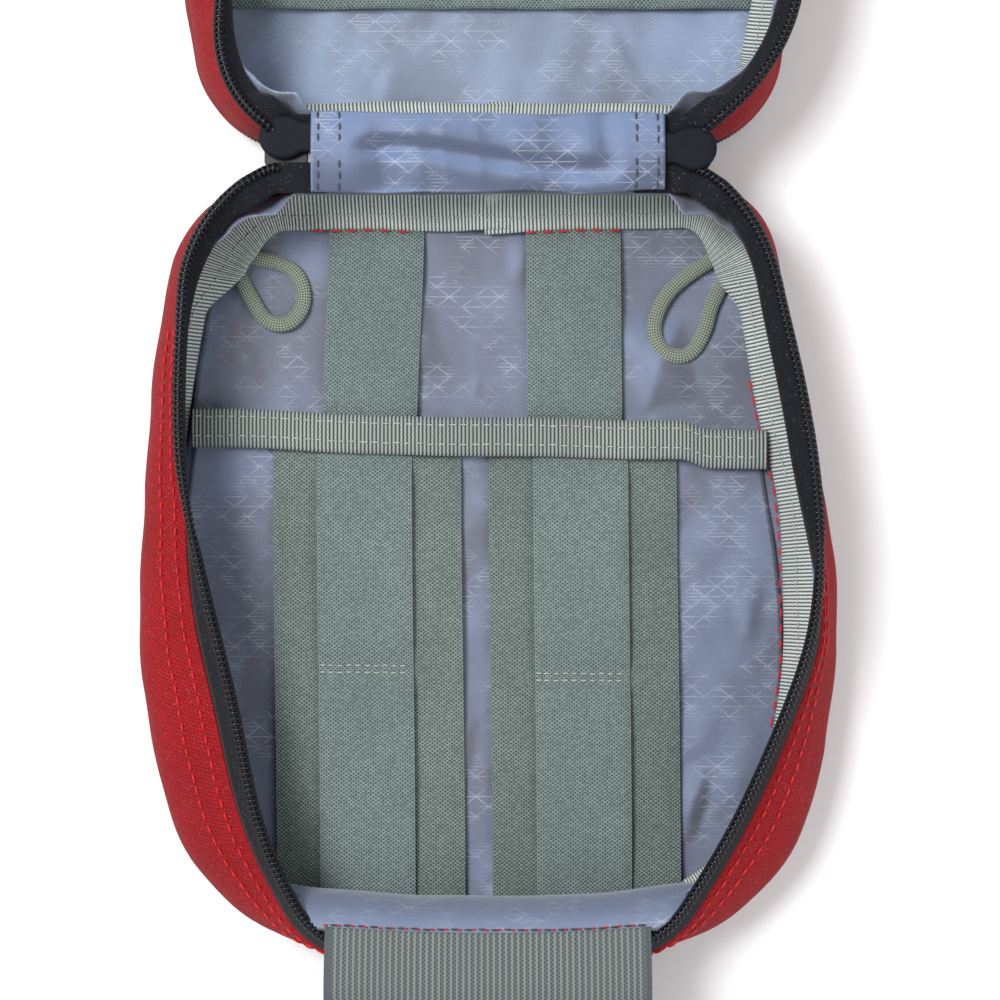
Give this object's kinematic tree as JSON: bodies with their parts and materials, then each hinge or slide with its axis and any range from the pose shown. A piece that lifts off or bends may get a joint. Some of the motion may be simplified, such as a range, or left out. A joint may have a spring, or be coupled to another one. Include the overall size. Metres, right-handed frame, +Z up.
{
  "type": "first aid kit",
  "caption": "Soft clamshell first aid pouch lying open, with a zipped rim, fabric hinge, elastic loops, a bound pocket, cord loops and a webbing flap.",
  "frame": {"origin": "centre of the belt loop's outer face, on the surface that the base lies on", "axes": "+Y from the flap end of the base to the hinge and on to the open lid, +Z up out of the open base"},
  "size_m": [0.1794, 0.4371, 0.0466],
  "materials": {
    "outer_cloth": "coarse woven, matte",
    "lining_cloth": "smooth ripstop, slight sheen",
    "foam": "closed-cell foam sheet",
    "seam_binding": "ribbed grosgrain",
    "red_binding": "ribbed grosgrain",
    "black_binding": "ribbed grosgrain",
    "zipper_tape": "woven tape",
    "zipper_coil": "coil teeth",
    "rubber_tab": "satin moulded",
    "slider_metal": "black enamel",
    "cord": "braided cord",
    "red_webbing": "woven webbing",
    "ribbed_webbing": "ribbed webbing",
    "elastic": "knitted elastic"
  },
  "bodies": {
    "base": {"back_panel": "outer_cloth", "back_foam": "foam", "back_lining": "lining_cloth", "base_side_wall": "outer_cloth", "base_wall_lining": "lining_cloth", "base_seam_binding": "seam_binding", "base_edge_binding": "red_binding", "base_zipper_tape": "zipper_tape", "base_zipper_coil": "zipper_coil", "pocket_panel": "lining_cloth", "pocket_binding": "seam_binding", "upper_strap_left": "elastic", "upper_strap_right": "elastic", "wide_elastic_left": "elastic", "wide_elastic_right": "elastic", "loop_elastic_left": "elastic", "loop_elastic_right": "elastic", "cord_loop_left": "cord", "cord_loop_right": "cord", "webbing_rows": "red_webbing", "belt_loop": "red_webbing", "rim_hem": "lining_cloth"},
    "hinge": {"hinge_strip": "outer_cloth", "hinge_sleeve": "lining_cloth", "zipper_end_tab_left": "rubber_tab", "zipper_end_tab_right": "rubber_tab", "zipper_slider_left": "slider_metal", "zipper_slider_right": "slider_metal"},
    "lid": {"front_panel": "outer_cloth", "front_foam": "foam", "front_lining": "lining_cloth", "lid_side_wall": "outer_cloth", "lid_wall_lining": "lining_cloth", "lid_seam_binding": "seam_binding", "lid_edge_binding": "black_binding", "lid_zipper_tape": "zipper_tape", "lid_zipper_coil": "zipper_coil", "lid_loop_band_near": "elastic", "lid_loop_band_far": "elastic"},
    "flap_root": {"flap_root": "ribbed_webbing"},
    "flap_tip": {"flap_tip": "ribbed_webbing"},
    "puller_left": {"zipper_puller_left": "slider_metal"},
    "puller_right": {"zipper_puller_right": "slider_metal"}
  },
  "joints": [
    {"name": "base_fold", "type": "hinge", "parent": "base", "child": "hinge", "pos_m": [0, 0.0948, 0.0372], "axis": [1, 0, 0], "range_deg": [0, 90]},
    {"name": "lid_fold", "type": "hinge", "parent": "hinge", "child": "lid", "pos_m": [0, 0.1128, 0.0372], "axis": [1, 0, 0], "range_deg": [0, 90]},
    {"name": "flap_lift", "type": "hinge", "parent": "base", "child": "flap_root", "pos_m": [0, -0.088, 0.046], "axis": [-1, 0, 0], "range_deg": [0, 180]},
    {"name": "flap_straighten", "type": "hinge", "parent": "flap_root", "child": "flap_tip", "pos_m": [0, -0.104, 0.046], "axis": [-1, 0, 0], "range_deg": [0, 58]},
    {"name": "puller_left_swing", "type": "hinge", "parent": "hinge", "child": "puller_left", "pos_m": [-0.0505, 0.1038, 0.0324], "axis": [0, 1, 0], "range_deg": [-80, 80]},
    {"name": "puller_right_swing", "type": "hinge", "parent": "hinge", "child": "puller_right", "pos_m": [0.0505, 0.1038, 0.0324], "axis": [0, 1, 0], "range_deg": [-80, 80]}
  ],
  "couplings": [
    {"joint": "flap_straighten", "follows": "flap_lift", "ratio": 0.3222}
  ]
}
